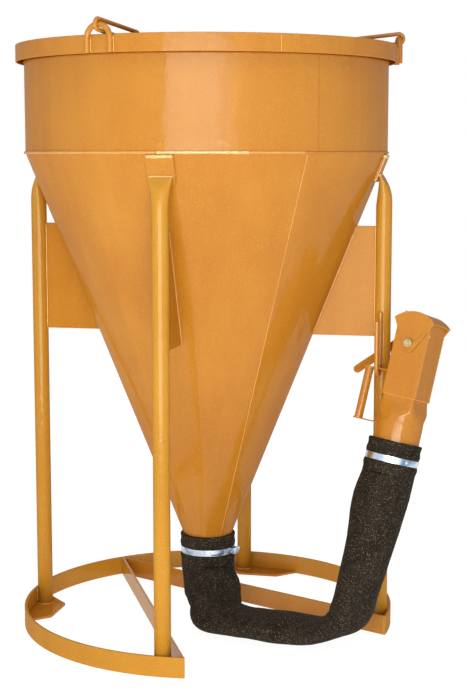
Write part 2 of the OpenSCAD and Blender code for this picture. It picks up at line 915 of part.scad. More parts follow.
drum_shell();
hopper_cone();
rim_angle();
outlet_spigot();
base_ring();
brace_left();
brace_right();
leg_front_left();
leg_front_right();
leg_rear_right();
leg_rear_left();
leg_pad_front_left();
leg_pad_front_right();
leg_pad_rear_right();
leg_pad_rear_left();
gusset_front_left();
gusset_front_right();
gusset_rear_right();
gusset_rear_left();
foot_plate_front_left();
foot_plate_front_right();
foot_plate_rear_right();
foot_plate_rear_left();
staple_left();
staple_right();
staple_rear();
link_left();
link_right();
link_rear();
storage_hook();
hose();
spigot_clamp_band();
spigot_clamp_housing();
spigot_clamp_screw();
head_clamp_band();
head_clamp_housing();
head_clamp_screw();
spout_tube();
spout_neck();
spout_cheek_front();
spout_cheek_rear();
spout_web_left();
spout_web_right();
strap_upper();
strap_lower();
grip();
pivot_bolts();
pivot_nuts();
gate_side_front();
gate_side_rear();
gate_skin();
gate_lever();
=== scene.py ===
import json
import math
import random

import bpy
from mathutils import Matrix, Vector, noise


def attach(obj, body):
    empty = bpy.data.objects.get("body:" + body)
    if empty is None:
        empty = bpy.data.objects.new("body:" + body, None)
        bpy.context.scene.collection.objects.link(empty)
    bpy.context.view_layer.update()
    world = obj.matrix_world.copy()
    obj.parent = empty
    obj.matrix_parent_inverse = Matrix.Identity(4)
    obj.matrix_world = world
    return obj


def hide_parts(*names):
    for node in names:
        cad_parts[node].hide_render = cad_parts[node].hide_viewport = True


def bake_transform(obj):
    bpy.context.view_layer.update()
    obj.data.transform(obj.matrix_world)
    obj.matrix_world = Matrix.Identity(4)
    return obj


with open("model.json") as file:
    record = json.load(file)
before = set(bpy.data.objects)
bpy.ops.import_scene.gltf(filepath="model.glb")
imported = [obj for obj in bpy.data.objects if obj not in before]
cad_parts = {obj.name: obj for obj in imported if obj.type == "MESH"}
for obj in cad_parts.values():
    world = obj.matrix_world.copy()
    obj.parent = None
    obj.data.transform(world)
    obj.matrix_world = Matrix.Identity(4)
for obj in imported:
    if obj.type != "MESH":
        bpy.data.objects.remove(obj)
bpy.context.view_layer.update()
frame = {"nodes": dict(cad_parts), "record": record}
nodes = frame["nodes"]
scene = bpy.context.scene
random.seed(7)

# Sizes of the CAD model, in metres and degrees
SHELL_R = 0.550
SHEET_T = 0.004
JOINT_Z = 1.463
RIM_Z = 1.780
RIM_R = 0.575
RIM_H = 0.050
OUTLET_Z = 0.276
OUTLET_R = 0.077
CONE_SLOPE = (SHELL_R - OUTLET_R) / (JOINT_Z - OUTLET_Z)
CONE_ANGLE = math.atan(CONE_SLOPE)
BASE_IN_R = 0.570
BASE_H = 0.060
FOOT_T = 0.008
LEG_TURNS = {"front_left": -45.0, "front_right": 45.0, "rear_right": 135.0, "rear_left": -135.0}
LEG_TUBE_R = 0.02415
LEG_R = 0.54555
LEG_TOP_Z = 1.396
CRUSH_LEN = 0.089
CRUSH_FACET = 0.028
CRUSH_W = 0.070
CRUSH_T = 0.007
PAD_W = 0.078
PAD_LEN = 0.078
PAD_DROP = 0.012
PAD_FACE_X = 0.53224
GUSSET_TOP_Z = 1.245
GUSSET_LOW_Z = 0.912
GUSSET_T = 0.006
STAPLE_TURNS = {"left": -61.5, "right": 58.5, "rear": 178.5}
STAPLE_W = 0.074
STAPLE_BAR = 0.016
HOOK_LEG_TURN = 45.0
HOOK_WAY_TURN = -51.0
SPIGOT_LEN = 0.088
HOSE_WALL = 0.008
SPIGOT_HOSE_R = 0.083877
HEAD_HOSE_R = 0.078695
CLAMP_DROP = 0.050
HEAD_CLAMP_IN = 0.054
HEAD_TILT = 15.5
HEAD_TURN = -66
HEAD = Vector((0.427057, -0.502010, 0.892))
HEAD_FRAME = (
    Matrix.Translation(HEAD)
    @ Matrix.Rotation(math.radians(HEAD_TILT), 4, "Y")
    @ Matrix.Rotation(math.radians(HEAD_TURN), 4, "Z")
)
HEAD_AXIS = (HEAD_FRAME.to_3x3() @ Vector((0, 0, 1))).normalized()
HOSE_END_S = -0.291
SPOUT_END_S = -0.385
BOX_HALF = 0.054
BOX_DROP = 0.158
SPOUT_R = 0.06985
GATE_R = 0.096
GATE_IN_W = 0.055
GATE_OUT_W = 0.060
GATE_HALF = 43.43
GRIP_OFF = 0.128
GRIP_SHIFT = 0.0226
GRIP_R = 0.0125
STRAP_DROP = 0.090
STRAP_GAP = 0.158
STRAP_W = 0.026
STRAP_T = 0.004
LEVER_SLOPE = 42.5
LEVER_OFF = 0.069
LEVER_TIP = 0.227
LEVER_ROOT = 0.020
LEVER_HALF = 0.012
LEVER_T = 0.008


def polar(turn, radius, z):
    """Point at an azimuth, counted from -Y anticlockwise."""
    a = math.radians(turn)
    return Vector((radius * math.sin(a), -radius * math.cos(a), z))


def at(turn):
    """Frame at an azimuth: local X outwards, local Y anticlockwise."""
    return Matrix.Rotation(math.radians(turn - 90), 4, "Z")


def in_head(u, w, s):
    """Point given in the spout head's own frame."""
    return HEAD_FRAME @ Vector((u, w, s))


def cone_r(z):
    """Outer radius of the cone at a height."""
    return OUTLET_R + (z - OUTLET_Z) * CONE_SLOPE


def eased(share):
    """Smooth step from 0 to 1."""
    held = min(1.0, max(0.0, share))
    return held * held * (3 - 2 * held)


def hump(x, centre, width):
    """Bell curve of height 1."""
    return math.exp(-(((x - centre) / width) ** 2))


# Shader nodes


def add(tree, kind, inputs=None, **settings):
    """New node with its settings, and with values or links in its inputs."""
    node = tree.nodes.new(kind)
    for key, value in settings.items():
        setattr(node, key, value)
    for key, value in (inputs or {}).items():
        if isinstance(value, bpy.types.NodeSocket):
            tree.links.new(value, node.inputs[key])
        else:
            node.inputs[key].default_value = value
    return node


def shader(name):
    material = bpy.data.materials.new(name)
    material.use_nodes = True
    tree = material.node_tree
    return material, tree, tree.nodes["Principled BSDF"]


def place_of(tree, scale=(1, 1, 1)):
    """Object coordinates, stretched where a scale is given."""
    coords = add(tree, "ShaderNodeTexCoord").outputs["Object"]
    if scale == (1, 1, 1):
        return coords
    return add(tree, "ShaderNodeMapping", {"Vector": coords, "Scale": scale}).outputs["Vector"]


def noise_of(tree, place, scale, detail=3.0, roughness=0.55):
    inputs = {"Vector": place, "Scale": scale, "Detail": detail, "Roughness": roughness}
    return add(tree, "ShaderNodeTexNoise", inputs).outputs["Fac"]


def math_of(tree, operation, a, b=0.0):
    return add(tree, "ShaderNodeMath", {0: a, 1: b}, operation=operation).outputs[0]


def share_of(tree, value, share):
    return math_of(tree, "MULTIPLY", value, share)


def range_of(tree, value, low, high):
    """Value from 0 to 1, moved to the range from low to high."""
    return add(tree, "ShaderNodeMapRange", {"Value": value, "To Min": low, "To Max": high}).outputs["Result"]


def dot_of(tree, a, b):
    return add(tree, "ShaderNodeVectorMath", {0: a, 1: b}, operation="DOT_PRODUCT").outputs["Value"]


def ramp_of(tree, factor, stops):
    node = add(tree, "ShaderNodeValToRGB", {"Fac": factor})
    elements = node.color_ramp.elements
    while len(elements) < len(stops):
        elements.new(0.5)
    for element, (position, colour) in zip(elements, stops):
        element.position = position
        element.color = (*colour, 1)
    return node.outputs["Color"]


def mask_of(tree, factor, low, high):
    """0 below low and 1 above high."""
    return ramp_of(tree, factor, [(low, (0, 0, 0)), (high, (1, 1, 1))])


def mix_of(tree, factor, base, colour):
    """Base colour socket with a colour laid over it by a factor."""
    node = add(tree, "ShaderNodeMix", {0: factor, 6: base, 7: (*colour, 1)}, data_type="RGBA")
    return node.outputs[2]


def bump_of(tree, height, strength, distance, normal=None):
    inputs = {"Height": height, "Strength": strength, "Distance": distance}
    if normal is not None:
        inputs["Normal"] = normal
    return add(tree, "ShaderNodeBump", inputs).outputs["Normal"]


# Paint

PAINT_TONES = ((0.384, 0.130, 0.0095), (0.447, 0.169, 0.0150), (0.511, 0.220, 0.0255))
# Yellower tones for the base ring, the legs and the left brace: painted light from the floor on the lower
# parts
PAINTED_FLOOR_LIGHT_TONES = ((0.396, 0.158, 0.0115), (0.460, 0.203, 0.0175), (0.524, 0.258, 0.0300))
# Dark red of the line under the rim, which is painted shade below the rim's skirt, and of the drum's seam
SHADE_AND_SEAM_TONES = ((0.300, 0.080, 0.008), (0.360, 0.104, 0.010), (0.430, 0.150, 0.018))
# Weld tones are paler than the paint: partly thinner paint on the bead's ripples, partly painted sheen
WELD_TONES = ((0.490, 0.185, 0.022), (0.570, 0.250, 0.042), (0.650, 0.340, 0.090))
# Pale tones of a painted glint on the weld beads that face the lamps
GLINT_TONES = ((0.520, 0.230, 0.040), (0.640, 0.370, 0.110), (0.780, 0.580, 0.290))
WORN_TONE = (0.80, 0.42, 0.13)
SPECK_TONE = (0.30, 0.09, 0.02)
# Tone and share of the pale specks, which are painted glints of the orange peel
GLINT_SPECK_TONE = (0.66, 0.37, 0.10)
WORN_SHARE = 0.45
SPECK_SHARE = 0.35
GLINT_SPECK_SHARE = 0.40
WORN_EDGE = 0.003
PAINT_ROUGHNESS = (0.30, 0.46)
COAT_IOR = 2.4
COAT_ROUGHNESS = 0.10


def paint_colour(tree, place, tones):
    """Broad clouds, upright streaks and fine grain in three tones."""
    broad = noise_of(tree, place, 2.2, 3)
    streak = noise_of(tree, place_of(tree, (14, 14, 1.1)), 1.0, 4)
    grain = noise_of(tree, place, 330, 3, 0.65)
    clouds = math_of(tree, "ADD", share_of(tree, broad, 0.40), share_of(tree, streak, 0.20))
    tone = math_of(tree, "ADD", clouds, share_of(tree, grain, 0.40))
    return ramp_of(tree, tone, [(0.32, tones[0]), (0.50, tones[1]), (0.68, tones[2])])


def worn_edges(tree, place):
    """Patches along the edges, where the paint is thinner."""
    edge_normal = add(tree, "ShaderNodeBevel", {"Radius": WORN_EDGE}, samples=4).outputs["Normal"]
    flat_normal = add(tree, "ShaderNodeNewGeometry").outputs["Normal"]
    edge = math_of(tree, "SUBTRACT", 1.0, dot_of(tree, edge_normal, flat_normal))
    patchy = math_of(tree, "MULTIPLY", edge, noise_of(tree, place, 45, 4))
    return mask_of(tree, patchy, 0.035, 0.16)


def make_paint(name, tones, coat):
    """Orange paint with orange peel, faint streaks, specks, pale specks of painted glint and thinner paint
    on the edges.
    """
    material, tree, bsdf = shader(name)
    place = place_of(tree)
    colour = paint_colour(tree, place, tones)
    colour = mix_of(tree, share_of(tree, worn_edges(tree, place), WORN_SHARE), colour, WORN_TONE)
    specks = mask_of(tree, noise_of(tree, place, 150, 2, 0.5), 0.735, 0.765)
    colour = mix_of(tree, share_of(tree, specks, SPECK_SHARE), colour, SPECK_TONE)
    # Pale specks all over: painted glints of the orange peel
    dust_and_glint = mask_of(tree, noise_of(tree, place, 260, 3, 0.6), 0.60, 0.70)
    colour = mix_of(tree, share_of(tree, dust_and_glint, GLINT_SPECK_SHARE), colour, GLINT_SPECK_TONE)
    tree.links.new(colour, bsdf.inputs["Base Color"])
    rough = range_of(tree, noise_of(tree, place, 26, 4), *PAINT_ROUGHNESS)
    tree.links.new(rough, bsdf.inputs["Roughness"])
    bsdf.inputs["Specular IOR Level"].default_value = 0.0
    bsdf.inputs["Coat Weight"].default_value = coat
    bsdf.inputs["Coat IOR"].default_value = COAT_IOR
    bsdf.inputs["Coat Roughness"].default_value = COAT_ROUGHNESS
    sheet = bump_of(tree, noise_of(tree, place, 6.5, 2), 0.22, 0.004)
    peel = bump_of(tree, noise_of(tree, place, 210, 2), 0.10, 0.0007, sheet)
    tree.links.new(peel, bsdf.inputs["Normal"])
    wave = bump_of(tree, noise_of(tree, place, 38, 3), 0.22, 0.0048)
    glaze = bump_of(tree, noise_of(tree, place, 420, 2), 0.12, 0.0003, wave)
    tree.links.new(glaze, bsdf.inputs["Coat Normal"])
    return material


# Rubber and plated steel

RUBBER_DARK = (0.011, 0.008, 0.006)
RUBBER_PALE = (0.027, 0.020, 0.015)
RUBBER_DUST = (0.10, 0.082, 0.062)
# Scale, size and least choice of the pale specks, with their colour
RUBBER_SPECKS = (
    (215, 0.29, 0.42, (0.25, 0.19, 0.115)),
    (350, 0.33, 0.42, (0.13, 0.098, 0.064)),
)
SPECK_CHOICE_WIDTH = 0.25
RUBBER_DUST_SHARE = 0.18
RUBBER_ROUGHNESS = 0.86
RUBBER_SPECULAR = 0.08


def make_rubber(name):
    """Dark wrapped rubber with pale specks and a rough cloth grain."""
    material, tree, bsdf = shader(name)
    place = place_of(tree)
    colour = ramp_of(tree, noise_of(tree, place, 22, 5, 0.7), [(0.30, RUBBER_DARK), (0.70, RUBBER_PALE)])
    for scale, size, choice, pale in RUBBER_SPECKS:
        cells = add(tree, "ShaderNodeTexVoronoi", {"Vector": place, "Scale": scale}).outputs
        spot = math_of(tree, "SUBTRACT", 1.0, mask_of(tree, cells["Distance"], size * 0.5, size))
        lot = add(tree, "ShaderNodeSeparateColor", {0: cells["Color"]}).outputs[0]
        chosen = mask_of(tree, lot, choice, choice + SPECK_CHOICE_WIDTH)
        colour = mix_of(tree, math_of(tree, "MULTIPLY", spot, chosen), colour, pale)
    dust_and_glint = mask_of(tree, noise_of(tree, place, 7, 5, 0.7), 0.55, 0.80)
    colour = mix_of(tree, share_of(tree, dust_and_glint, RUBBER_DUST_SHARE), colour, RUBBER_DUST)
    tree.links.new(colour, bsdf.inputs["Base Color"])
    bsdf.inputs["Roughness"].default_value = RUBBER_ROUGHNESS
    bsdf.inputs["Specular IOR Level"].default_value = RUBBER_SPECULAR
    grain = bump_of(tree, noise_of(tree, place, 95, 3, 0.7), 0.55, 0.0022)
    fine = bump_of(tree, noise_of(tree, place, 420, 3, 0.7), 0.45, 0.0008, grain)
    tree.links.new(fine, bsdf.inputs["Normal"])
    return material


def make_metal(name, dark, pale, rough, scratch_scale):
    """Plated steel with fine scratches, and pale and dark bands in its colour: partly the plating's own
    tint, partly painted reflection.
    """
    material, tree, bsdf = shader(name)
    place = place_of(tree)
    # Bands of pale and dark: partly the plating's tint, partly painted reflection
    stops = [(0.36, dark), (0.47, pale), (0.58, pale), (0.70, dark)]
    tree.links.new(ramp_of(tree, noise_of(tree, place, 15, 2), stops), bsdf.inputs["Base Color"])
    bsdf.inputs["Metallic"].default_value = 1.0
    scratches = noise_of(tree, place_of(tree, scratch_scale), 1.0, 4, 0.7)
    tree.links.new(range_of(tree, scratches, rough - 0.1, rough + 0.16), bsdf.inputs["Roughness"])
    tree.links.new(bump_of(tree, scratches, 0.12, 0.0003), bsdf.inputs["Normal"])
    return material


paint = make_paint("orange_gloss_paint", PAINT_TONES, 0.17)
# The frame's paint and the left brace's glossier paint carry the yellower painted floor light
frame_paint_with_floor_light = make_paint("frame_paint_with_painted_floor_light", PAINTED_FLOOR_LIGHT_TONES, 0.11)
plate_paint = make_paint("paint_on_plates", PAINT_TONES, 0.05)
brace_paint = make_paint("paint_on_braces", PAINTED_FLOOR_LIGHT_TONES, 0.42)
painted_glint_weld = make_paint("welds_with_painted_glint", GLINT_TONES, 0.60)
shade_and_seam_paint = make_paint("dark_seams_and_painted_shade", SHADE_AND_SEAM_TONES, 0.02)
weld_paint = make_paint("paint_on_welds", WELD_TONES, 0.36)
rubber = make_rubber("wrapped_rubber")
zinc = make_metal("blue_zinc", (0.20, 0.27, 0.43), (0.60, 0.70, 0.84), 0.24, (60, 60, 900))
bolt_zinc = make_metal("yellow_zinc", (0.26, 0.18, 0.06), (0.74, 0.62, 0.31), 0.26, (300, 300, 300))


# Meshes and pieces


def skin(rings, closed=False):
    """Faces between rings of points that all have the same count."""
    sides = len(rings[0])
    count = len(rings)
    faces = []
    for i in range(count if closed else count - 1):
        a, b = i * sides, (i + 1) % count * sides
        for k in range(sides):
            n = (k + 1) % sides
            faces.append((a + k, a + n, b + n, b + k))
    return faces


def capped(rings):
    """Faces between rings, with a face over each end."""
    sides = len(rings[0])
    last = (len(rings) - 1) * sides
    ends = [tuple(reversed(range(sides))), tuple(range(last, last + sides))]
    return skin(rings) + ends


def joined(rings):
    return [p for ring in rings for p in ring]


def piece(name, body, material, points, faces):
    """New piece with its material, which rides on a body where one is given."""
    mesh = bpy.data.meshes.new(name)
    mesh.from_pydata([tuple(p) for p in points], [], faces)
    mesh.update()
    mesh.materials.append(material)
    mesh.polygons.foreach_set("use_smooth", [True] * len(mesh.polygons))
    made = bpy.data.objects.new(name, mesh)
    scene.collection.objects.link(made)
    if body:
        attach(made, body)
    return made


def sharpen(made, angle):
    """Keeps the edges crisp that are sharper than an angle."""
    edges = made.modifiers.new("edges", "EDGE_SPLIT")
    edges.split_angle = math.radians(angle)


def circle(centre, radius, count, place=None):
    """Points of a level circle, in a frame where one is given."""
    points = []
    for k in range(count):
        turn = math.tau * k / count
        points.append(centre + Vector((radius * math.cos(turn), radius * math.sin(turn), 0)))
    return points if place is None else [place @ p for p in points]


# CAD nodes: materials, rounded edges and smooth shading

SLOT_MATERIALS = {"orange_paint": paint, "clamp_zinc": zinc, "bolt_zinc": bolt_zinc, "hose_rubber": rubber}
# The base ring gets the paint with painted floor light, the left brace a glossier copy of it
NODE_PAINTS = {"brace_left": brace_paint, "base_ring": frame_paint_with_floor_light}
NODE_PAINTS.update({"gusset_" + corner: plate_paint for corner in LEG_TURNS})
DEFAULT_ROUND = 0.0012
ROUNDED = {
    "rim_angle": 0.0016,
    "drum_shell": 0.0006,
    "hopper_cone": 0.0006,
    "gate_skin": 0.0008,
    "pivot_bolts": 0.0006,
    "pivot_nuts": 0.0006,
    "spigot_clamp_screw": 0.0005,
    "head_clamp_screw": 0.0005,
    "spigot_clamp_housing": 0.0015,
    "head_clamp_housing": 0.0015,
    "spigot_clamp_band": 0.0003,
    "head_clamp_band": 0.0003,
    "strap_upper": 0.0010,
    "strap_lower": 0.0010,
}
MERGE_GAP = 0.00001
ROUND_FROM = 40


def dress(name, slot):
    """Gives a CAD node its material, rounded edges and smooth shading."""
    node = nodes[name]
    mesh = node.data
    mesh.materials.clear()
    mesh.materials.append(NODE_PAINTS.get(name, SLOT_MATERIALS[slot]))
    mesh.polygons.foreach_set("material_index", [0] * len(mesh.polygons))
    mesh.polygons.foreach_set("use_smooth", [True] * len(mesh.polygons))
    if "custom_normal" in mesh.attributes:
        mesh.attributes.remove(mesh.attributes["custom_normal"])
    merge = node.modifiers.new("merge", "WELD")
    merge.merge_threshold = MERGE_GAP
    rounding = node.modifiers.new("rounding", "BEVEL")
    rounding.width = ROUNDED.get(name, DEFAULT_ROUND)
    rounding.segments = 2
    rounding.limit_method = "ANGLE"
    rounding.angle_limit = math.radians(ROUND_FROM)
    rounding.use_clamp_overlap = True
    shading = node.modifiers.new("shading", "WEIGHTED_NORMAL")
    shading.weight = 60


for row in frame["record"]["subparts"]:
    dress(row["node"], row["material_slot"])


# Cone: rolled sheet with soft press lines that fade out towards the drum

PRESS_LINES = 10
PRESS_TURN = -1.0
PRESS_SHARE = 0.30
PRESS_TOP_GAP = 0.03
PRESS_FADE_LEN = 0.40
GUSSET_CALM_TURN = 9
CONE_GAP = 0.0001
CONE_ROWS = 60
CONE_SIDES = 360
CONE_SHARP = 40


def cone_surface(turn, z, inset):
    """Point of the cone, drawn in a little between two press lines but not beside a gusset."""
    step = 360 / PRESS_LINES
    off = (turn - PRESS_TURN) % step - step / 2
    hollow = 1 - math.cos(math.radians(step / 2)) / math.cos(math.radians(off))
    for leg_turn in LEG_TURNS.values():
        apart = (turn - leg_turn + 180) % 360 - 180
        hollow *= 1 - hump(apart, 0, GUSSET_CALM_TURN)
    fade = eased((JOINT_Z - PRESS_TOP_GAP - z) / PRESS_FADE_LEN)
    return polar(turn, cone_r(z) * (1 - PRESS_SHARE * fade * hollow) - inset, z)


def make_cone():
    wall = SHEET_T / math.cos(CONE_ANGLE)
    foot, top = OUTLET_Z + CONE_GAP, JOINT_Z - CONE_GAP
    heights = [foot + (top - foot) * k / CONE_ROWS for k in range(CONE_ROWS + 1)]
    turns = [PRESS_TURN + 360 * k / CONE_SIDES for k in range(CONE_SIDES)]
    rings = [[cone_surface(t, z, 0.0) for t in turns] for z in heights]
    rings += [[cone_surface(t, z, wall) for t in turns] for z in reversed(heights)]
    made = piece("pressed_cone", "hopper_frame", paint, joined(rings), skin(rings, True))
    sharpen(made, CONE_SHARP)
    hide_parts("hopper_cone")


make_cone()


# Legs: round tubes with a pressed flat upper end

LEG_SIDES = 72
LEG_GAP = 0.0001
LEG_ROWS = (0.3, 0.6, 0.9, 1.15)
CRUSH_LEAD = 0.03
CRUSH_ROWS = 56
CRUSH_PAD_GAP = 0.0003
CRUSH_EDGE = 0.0012
CRUSH_CROWN = 0.0006
BULGE_POWER = 2.5
SPREAD_POWER = 1.7
FLAT_RING_POWER = 0.45
UNCUT_X = 1.0


def leg_ring(in_x, out_x, half_y, power, limit_x, z):
    """Ring of a leg: rounded to flat by its power, and cut by a slanting face on the outer side."""
    middle, half_x = (in_x + out_x) / 2, (out_x - in_x) / 2
    ring = []
    for k in range(LEG_SIDES):
        turn = math.tau * k / LEG_SIDES
        c, s = math.cos(turn), math.sin(turn)
        x = middle + half_x * math.copysign(abs(c) ** power, c)
        ring.append(Vector((min(x, limit_x), half_y * math.copysign(abs(s) ** power, s), z)))
    return ring


def bulge_share(depth):
    """How far the tube has grown from flat to round at a depth below its top."""
    return 1 - (1 - min(1.0, depth / CRUSH_LEN)) ** BULGE_POWER


def leg(name, turn):
    flat_in = PAD_FACE_X + CRUSH_PAD_GAP
    flat_out = flat_in + CRUSH_T
    tube_in, tube_out = LEG_R - LEG_TUBE_R, LEG_R + LEG_TUBE_R
    bulge = tube_out - flat_out
    slant = bulge * bulge_share(CRUSH_FACET) / CRUSH_FACET
    half_top = CRUSH_W / 2
    straight = (FOOT_T + LEG_GAP, *LEG_ROWS, LEG_TOP_Z - CRUSH_LEN - CRUSH_LEAD)
    rows = [leg_ring(tube_in, tube_out, LEG_TUBE_R, 1.0, UNCUT_X, z) for z in straight]
    for i in range(CRUSH_ROWS + 1):
        depth = CRUSH_LEN * (1 - i / CRUSH_ROWS)
        share = depth / CRUSH_LEN
        in_x = flat_in + (tube_in - flat_in) * share
        out_x = flat_out + bulge * bulge_share(depth)
        half_y = LEG_TUBE_R + (half_top - LEG_TUBE_R) * (1 - share) ** SPREAD_POWER
        power = 1.0 - (1 - FLAT_RING_POWER) * (1 - share) ** 3
        rows.append(leg_ring(in_x, out_x, half_y, power, flat_out + slant * depth, LEG_TOP_Z - depth))
    rows.append(leg_ring(flat_in + CRUSH_EDGE, flat_out - CRUSH_EDGE, half_top - CRUSH_EDGE,
                         FLAT_RING_POWER, UNCUT_X, LEG_TOP_Z + CRUSH_CROWN))
    place = at(turn)
    rings = [[place @ p for p in row] for row in rows]
    # The legs wear the paint with the yellower painted floor light
    made = piece("tube_" + name, "hopper_frame", frame_paint_with_floor_light, joined(rings), capped(rings))
    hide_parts(name)


for corner, corner_turn in LEG_TURNS.items():
    leg("leg_" + corner, corner_turn)


# Hose

# Shares of the way to the spout in X, Y and Z, and of the hose's radius across and within the bend
HOSE_SHARES = [
    (-0.009, 0.027, 0.262, 1.02, 1.00),
    (-0.035, 0.085, 0.200, 1.10, 1.04),
    (-0.086, 0.157, 0.158, 1.14, 0.82),
    (-0.158, 0.291, 0.101, 1.16, 0.577),
    (-0.089, 0.453, 0.094, 1.18, 0.43),
    (0.025, 0.557, 0.095, 1.165, 0.433),
    (0.220, 0.684, 0.084, 1.185, 0.474),
    (0.442, 0.821, 0.083, 1.20, 0.391),
    (0.573, 0.914, 0.148, 1.12, 0.565),
    (0.624, 0.971, 0.214, 1.07, 0.737),
    (0.628, 1.023, 0.344, 1.00, 0.775),
    (0.752, 1.020, 0.570, 0.99, 0.871),
    (0.890, 1.013, 0.846, 1.05, 1.04),
]
HOSE_TOP_GAP = 0.0003
HOSE_LEAD = 0.006
HOSE_SIDES = 72
HOSE_END_ROWS = 24
HOSE_BEND_ROWS = 10
GROUND_LEAST = 0.0012
SWELL_SHARE = 0.05
END_LIP = 0.0028
END_LIP_W = 0.012
END_ROUND = 0.0022
CLAMP_BULGE = 0.0030
CLAMP_BULGE_OFF = 0.020
CLAMP_BULGE_W = 0.009
CLAMP_DENT = 0.0004
CLAMP_DENT_W = 0.010
LOOSE_FROM = 0.075
LOOSE_OVER = 0.05
FOLD_BEND = 11.0
CREASE = 0.0026
CREASE_STEP = 0.030
CREASE_NOISE = 9
COARSE_ROUGH = 0.0018
COARSE_NOISE = 13
FINE_ROUGH = 0.0008
FINE_NOISE = 46
HEEL_WAY = Vector((-0.844, 0.536, 0))
HEEL_RUN = 0.290
HEEL_RUN_W = 0.08
HEEL_OUT = 0.034
HEEL_Z = 0.05
HEEL_FADE = 0.09
HEEL_PULL = -0.5


def spline(p0, p1, p2, p3, t):
    """Point between p1 and p2 on a smooth curve through four points."""
    return tuple(
        (2 * b + t * (c - a) + t * t * (2 * a - 5 * b + 4 * c - d) + t ** 3 * (3 * b - a - 3 * c + d)) / 2
        for a, b, c, d in zip(p0, p1, p2, p3)
    )


def hose_rows():
    """Rows of X, Y, Z and the outer half sizes across and within the bend, and the spout's foot."""
    foot = HEAD + (SPOUT_END_S - HOSE_LEAD) * HEAD_AXIS
    end = HEAD + HOSE_END_S * HEAD_AXIS
    spigot_foot = OUTLET_Z - SPIGOT_LEN - HOSE_LEAD
    stations = [(0, 0, z, SPIGOT_HOSE_R, SPIGOT_HOSE_R) for z in (OUTLET_Z - HOSE_TOP_GAP, spigot_foot)]
    for x_share, y_share, z_share, across, within in HOSE_SHARES:
        radius = SPIGOT_HOSE_R + (HEAD_HOSE_R - SPIGOT_HOSE_R) * max(0.0, x_share)
        place = (x_share * foot.x, y_share * foot.y, z_share * foot.z)
        stations.append((*place, radius * across, radius * within))
    stations += [(*place, HEAD_HOSE_R, HEAD_HOSE_R) for place in (foot, end)]
    first, second = stations[:2]
    rows = [spline(first, first, second, second, k / HOSE_END_ROWS) for k in range(HOSE_END_ROWS)]
    for i in range(1, len(stations) - 2):
        rows += [spline(*stations[i - 1:i + 3], k / HOSE_BEND_ROWS) for k in range(HOSE_BEND_ROWS)]
    ends = list(zip(*stations[-2:]))
    for k in range(HOSE_END_ROWS + 1):
        rows.append(tuple(a + (b - a) * k / HOSE_END_ROWS for a, b in ends))
    return rows, foot


def hose_ways(places):
    """Direction of the hose at each row, straight on the spigot and on the spout."""
    last = len(places) - 1
    ways = []
    for i in range(last + 1):
        if i <= HOSE_END_ROWS:
            ways.append(Vector((0, 0, -1)))
        elif i >= last - HOSE_END_ROWS:
            ways.append(HEAD_AXIS.copy())
        else:
            ways.append((places[i + 1] - places[i - 1]).normalized())
    return ways


def hose_lip(near, far):
    """Swelling at the hose's ends and on both sides of each clamp."""
    lip = END_LIP * hump(near, 0, END_LIP_W) + END_LIP * hump(far, 0, END_LIP_W)
    for clamp in (abs(near - CLAMP_DROP), abs(far - HEAD_CLAMP_IN)):
        lip += CLAMP_BULGE * hump(clamp, CLAMP_BULGE_OFF, CLAMP_BULGE_W)
        lip -= CLAMP_DENT * hump(clamp, 0, CLAMP_DENT_W)
    return lip - END_ROUND * (hump(near, 0, END_ROUND) + hump(far, 0, END_ROUND))


def hose_point(centre, half_sizes, axes, angle, run, lip, loose, fold, inward):
    """Outer point of the hose with its creases, uneven skin and the heel of its lower bend."""
    across, within = axes
    c, s = math.cos(angle), math.sin(angle)
    out = (c * across + s * within).normalized()
    flatness = 1 - half_sizes[1] / half_sizes[0]
    swell = 1.0 + SWELL_SHARE * flatness * (abs(c * s) * 2) ** 2
    p = centre + half_sizes[0] * c * swell * across + half_sizes[1] * s * swell * within
    facing = max(0.0, out.dot(inward))
    ripple = math.sin(run * math.tau / CREASE_STEP + 2 * noise.noise(p * CREASE_NOISE))
    crease = CREASE * ripple * fold * facing ** 2
    rough = COARSE_ROUGH * noise.noise(p * COARSE_NOISE) + FINE_ROUGH * noise.noise(p * FINE_NOISE)
    low_down = max(HEEL_PULL, (HEEL_Z - p.z) / HEEL_FADE)
    heel = HEEL_OUT * hump(run, HEEL_RUN, HEEL_RUN_W) * low_down * max(0.0, out.dot(HEEL_WAY))
    p = p + out * (lip + loose * (crease + rough)) + HEEL_WAY * heel
    p.z = max(p.z, GROUND_LEAST)
    return p


def make_hose():
    rows, foot = hose_rows()
    places = [Vector(row[:3]) for row in rows]
    ways = hose_ways(places)
    last = len(rows) - 1
    level = Vector((-foot.y, foot.x, 0)).normalized()
    runs = [0.0]
    for a, b in zip(places, places[1:]):
        runs.append(runs[-1] + (b - a).length)
    angles = [math.tau * k / HOSE_SIDES for k in range(HOSE_SIDES)]
    outer, inner = [], []
    for i, (row, centre, way) in enumerate(zip(rows, places, ways)):
        across = (level - way * level.dot(way)).normalized()
        within = way.cross(across)
        before, after = max(0, i - 2), min(last, i + 2)
        bend = (ways[after] - ways[before]) / (runs[after] - runs[before])
        fold = min(1.0, bend.length / FOLD_BEND)
        inward = bend.normalized() if bend.length > 1e-6 else within
        near, far = runs[i], runs[-1] - runs[i]
        lip = hose_lip(near, far)
        loose = min(1.0, max(0.0, min(near, far) - LOOSE_FROM) / LOOSE_OVER)
        axes = (across, within)
        outer.append([hose_point(centre, row[3:], axes, angle, near, lip, loose, fold, inward)
                      for angle in angles])
        bore_across, bore_within = (row[3] - HOSE_WALL) * across, (row[4] - HOSE_WALL) * within
        inner.append([centre + math.cos(angle) * bore_across + math.sin(angle) * bore_within
                      for angle in angles])
    rings = outer + inner[::-1]
    made = piece("rubber_hose", None, rubber, joined(rings), skin(rings, True))
    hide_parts("hose")
    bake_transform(made)


make_hose()


